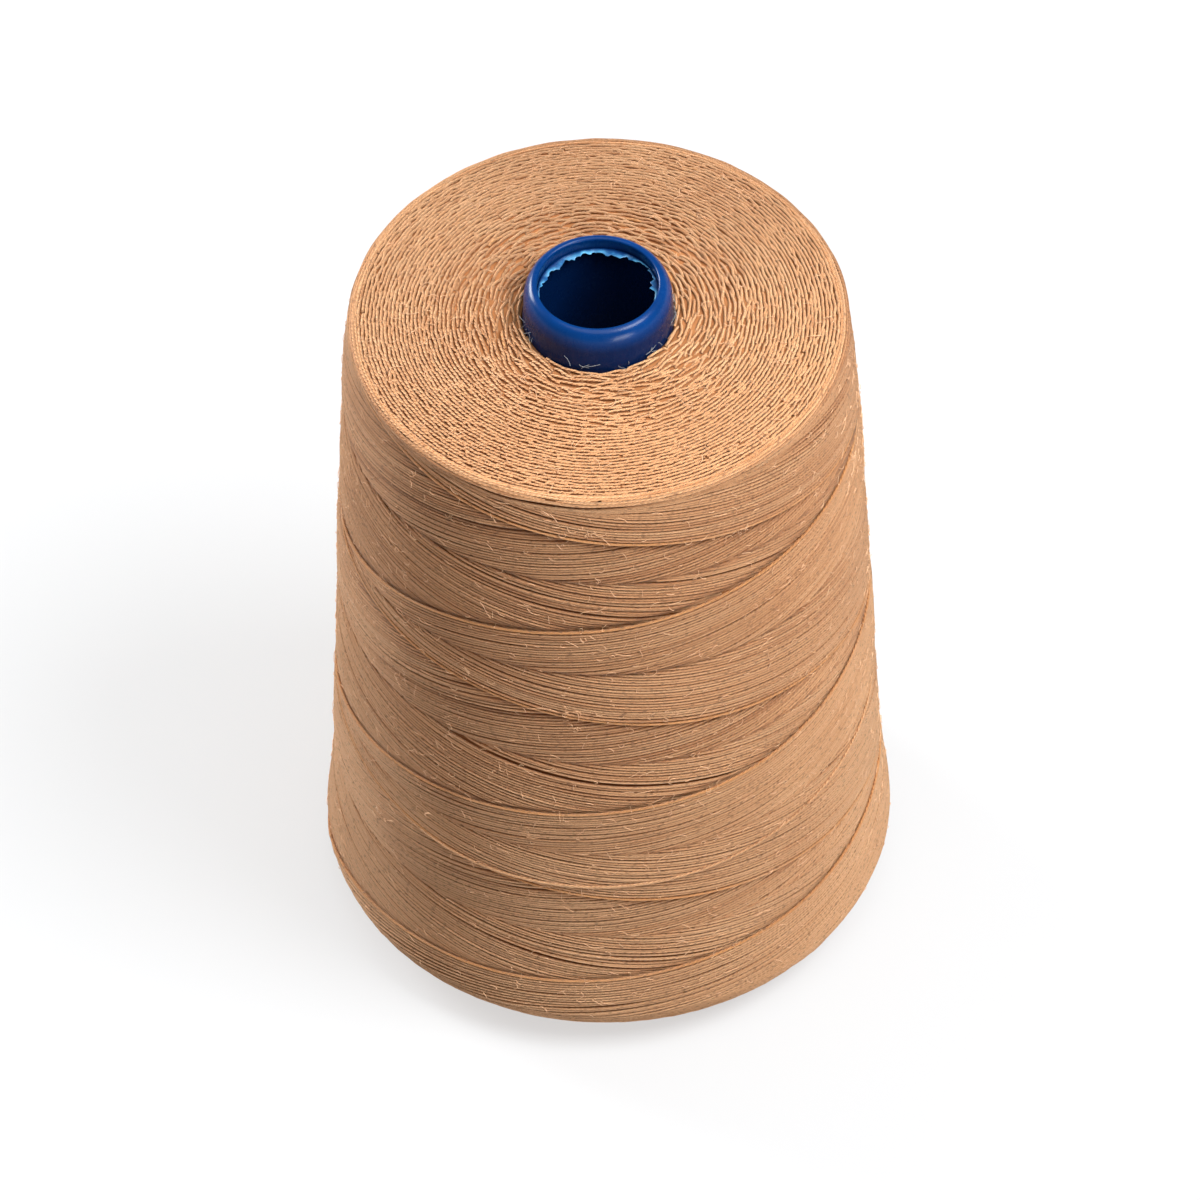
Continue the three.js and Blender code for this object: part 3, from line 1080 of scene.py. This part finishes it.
def make_core_finish():
    finish, tree, shader = new_finish("blue_plastic")
    on_core = tree.nodes.new("ShaderNodeTexCoord").outputs["Object"]
    level = add_node(tree, "ShaderNodeSeparateXYZ", {"Vector": on_core}).outputs["Z"]
    cloudy = mask(tree, noise(tree, on_core, 120.0, 2.0), 0.3, 0.75)
    colour = blend_colours(tree, cloudy, BLUE, BLUE_DEEP)
    # painted shade: the core is darker from the lip down
    colour = blend_colours(tree, fade(tree, level, LIP_FULL, LIP_FROM, 0.88), colour, BLUE_DARK)
    specks = mask(tree, noise(tree, on_core, 1900.0, 3.0, 0.6), 0.68, 0.76, 0.7)
    flat = step(tree, "ShaderNodeVectorMath", {0: on_core, 1: (1, 1, 0)}, operation="MULTIPLY")
    away = add_node(tree, "ShaderNodeVectorMath", {0: flat}, operation="LENGTH")
    outside = maths(tree, "GREATER_THAN", away.outputs["Value"], LINT_OUTSIDE)
    lint = maths(tree, "MULTIPLY", maths(tree, "GREATER_THAN", level, LINT_ABOVE), outside)
    lint = maths(tree, "MULTIPLY", fade(tree, level, COLLAR_FULL, COLLAR_FROM, 1.0), lint)
    colour = blend_colours(tree, maths(tree, "MULTIPLY", lint, specks), colour, LINT)
    scratches = noise(tree, stretched(tree, on_core, (420, 420, 260)), 1.0, 4.0, 0.7)
    set_inputs(tree, shader, {
        "Base Color": colour, "Roughness": fade(tree, scratches, 0.3, 0.7, 0.2, 0.34),
        "Specular IOR Level": 0.1, "Coat Weight": 0.22, "Coat Roughness": 0.22,
        "Normal": bumps(tree, scratches, 0.15, 0.0001),
    })
    return finish


core_finish = make_core_finish()
cone_body = turn_outline("cone_body", core_outline(), core_finish)
print("core:", len(cone_body.data.polygons), "faces")

# %% [markdown]
# ## The torn film
# A thin film once closed the mouth of the core. It was pushed through, and its torn rest stays as
# a pale, jagged and slightly wavy collar just inside the lip. A few radii give its larger tabs,
# and seeded noise the small tears between them.

# %% Film
TORN_EDGE = [  # degrees, radius of the torn edge
    (-180, 11.15), (-170, 11.25), (-150, 11.3), (-120, 11.2), (-100, 10.95), (-92, 11.2),
    (-60, 11.3), (-30, 11.3), (-16, 11.3), (-7, 10.8), (2, 10.2), (13, 10.5), (22, 11.25),
    (29, 11.2), (35, 10.9), (42, 11.25), (50, 10.7), (59, 10.5), (70, 10.1), (78, 9.9),
    (85, 10.4), (95, 10.55), (105, 10.5), (111, 10.0), (117, 9.9), (124, 10.55), (128, 9.9),
    (136, 10.1), (146, 10.6), (157, 10.3), (169, 10.8), (176, 11.2), (180, 11.15),
]
FILM_LEVEL = 167.3
FILM_THICK = 0.12
FILM_CLEAR = 0.12  # from the wall of the bore
FILM_SIDES = 540
FILM_TEARS = 130  # small tears round the edge
TEAR_SIZE = 0.26
TORN_BACK = 0.45  # the film is torn off this much nearer to the wall than the tabs' table says
FILM_STEPS = 6


def film_mesh():
    angle = 2 * math.pi * np.arange(FILM_SIDES) / FILM_SIDES
    degrees = (np.degrees(angle) + 180) % 360 - 180
    torn = np.interp(degrees, *np.array(TORN_EDGE).T)
    knots = np.linspace(-180, 180, FILM_TEARS + 1)
    ragged = rng.normal(0, 1, FILM_TEARS)
    ragged = np.interp(degrees, knots, np.append(ragged, ragged[0]))
    torn = torn + TORN_BACK + TEAR_SIZE * ragged * (torn < 11.1)
    outer = bore_radius(FILM_LEVEL) - FILM_CLEAR
    share = np.linspace(0, 1, FILM_STEPS)[:, None]
    radius = outer + (torn - outer) * share
    wave = 0.10 * np.sin(11 * angle) + 0.08 * np.sin(17 * angle + 1) + 0.05 * np.sin(29 * angle + 2)
    top = FILM_LEVEL + share * wave - 0.10 * share * (outer - torn)
    radius = np.concatenate([radius, radius[::-1]])
    height = np.concatenate([top, top[::-1] - FILM_THICK])
    mesh = ring_mesh("film", radius, np.broadcast_to(angle, radius.shape), height)
    edge = np.repeat(np.concatenate([share, share[::-1]]), FILM_SIDES)
    mesh.attributes.new("edge", "FLOAT", "POINT").data.foreach_set("value", edge)
    return mesh


# %% Film finish
FILM_PALE = (0.10, 0.40, 0.68, 1.0)
FILM_BLUE = (0.006, 0.09, 0.27, 1.0)


def make_film_finish():
    finish, tree, shader = new_finish("blue_film")
    on_film = tree.nodes.new("ShaderNodeTexCoord").outputs["Object"]
    cloudy = mask(tree, noise(tree, on_film, 420.0, 3.0), 0.35, 0.65)
    colour = blend_colours(tree, cloudy, FILM_BLUE, FILM_PALE)
    edge = add_node(tree, "ShaderNodeAttribute", attribute_name="edge")
    # painted shade: the film is darker next to the wall of the bore, under the lip
    at_wall = mask(tree, edge.outputs["Fac"], 0.2, 0.7, 0.0, 1.0)
    set_inputs(tree, shader, {
        "Base Color": blend_colours(tree, at_wall, colour, BLUE_DEEP), "Roughness": 0.35,
        "Normal": bumps(tree, noise(tree, on_film, 900.0, 3.0), 0.4, 0.0001),
    })
    return finish


film = add_object("film", film_mesh())
film.data.materials.append(make_film_finish())
print("film:", len(film.data.polygons), "faces")

# %% [markdown]
# ## Floor and light
# The cone stands on a pale floor that glows a little from below, like a light table, so the shade
# on it is only a soft grey. A broad light overhead and a smaller one from the upper right model the
# turns. Two more, set low, brighten the left edge and the lowest turns at the front.

# %% Floor
FLOOR_HALF = 4.0
FLOOR_TONE = (0.25, 0.256, 0.262, 1.0)
FLOOR_GLOW = 0.59


def make_floor():
    corners = [(x * FLOOR_HALF, y * FLOOR_HALF, 0) for x, y in ((-1, -1), (1, -1), (1, 1), (-1, 1))]
    mesh = bpy.data.meshes.new("floor")
    mesh.from_pydata(corners, [], [(0, 1, 2, 3)])
    finish, tree, shader = new_finish("floor_finish")
    place = tree.nodes.new("ShaderNodeTexCoord")
    cloud = mask(tree, noise(tree, place.outputs["Object"], 1.5, 2.0), 0.3, 0.7, 0.03)
    set_inputs(tree, shader, {
        "Base Color": blend_colours(tree, cloud, FLOOR_TONE, grey(0.24)),
        "Emission Color": grey(1.0), "Emission Strength": FLOOR_GLOW,
        "Roughness": 0.9, "Specular IOR Level": 0.1,
    })
    mesh.materials.append(finish)
    return add_object("floor", mesh)


floor = make_floor()

# %% Light
WORLD_STRENGTH = 0.15
LIGHT_TARGET = Vector((0, 0, 0.08))
LIGHTS = [  # name, place, size, watts, colour
    ("ceiling", (0.2, -0.2, 1.9), 2.2, 26.5, (1.0, 1.0, 1.0)),
    ("key", (0.78, -0.3, 1.35), 0.8, 24.0, (0.99, 1.0, 1.01)),
    ("edge", (-1.0, 0.8, 0.45), 0.6, 20.0, (1.0, 1.0, 1.0)),
    ("front", (0.9, -1.4, 0.08), 0.8, 18.0, (1.0, 1.0, 1.0)),
]


def make_light(name, place, size, watts, colour):
    lamp = bpy.data.lights.new(name, "AREA")
    lamp.shape = "DISK"
    lamp.size = size
    lamp.energy = watts
    lamp.color = colour
    light = add_object(name, lamp)
    light.location = place
    light.rotation_mode = "QUATERNION"
    light.rotation_quaternion = (LIGHT_TARGET - light.location).to_track_quat("-Z", "Y")


for settings in LIGHTS:
    make_light(*settings)

world = bpy.data.worlds.new("surround")
world.use_nodes = True
backdrop = world.node_tree.nodes["Background"]
set_inputs(world.node_tree, backdrop, {"Color": grey(1.0), "Strength": WORLD_STRENGTH})
bpy.context.scene.world = world
bpy.context.scene.view_settings.view_transform = "Standard"

# %% [markdown]
# Each dressed piece takes the place of its imported node and rides on the one body of the model.

# %% Hand over
THREAD_PIECES = [rising_threads, falling_threads, last_lap, side_fuzz, top_face, rim_threads,
                 top_fuzz, collar_lint, low_face, wound_body]
for piece in THREAD_PIECES:
    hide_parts("thread_package")
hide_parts("cone_core")
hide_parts("torn_seal")
for piece in THREAD_PIECES + [cone_body, film]:
    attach(piece, "root")
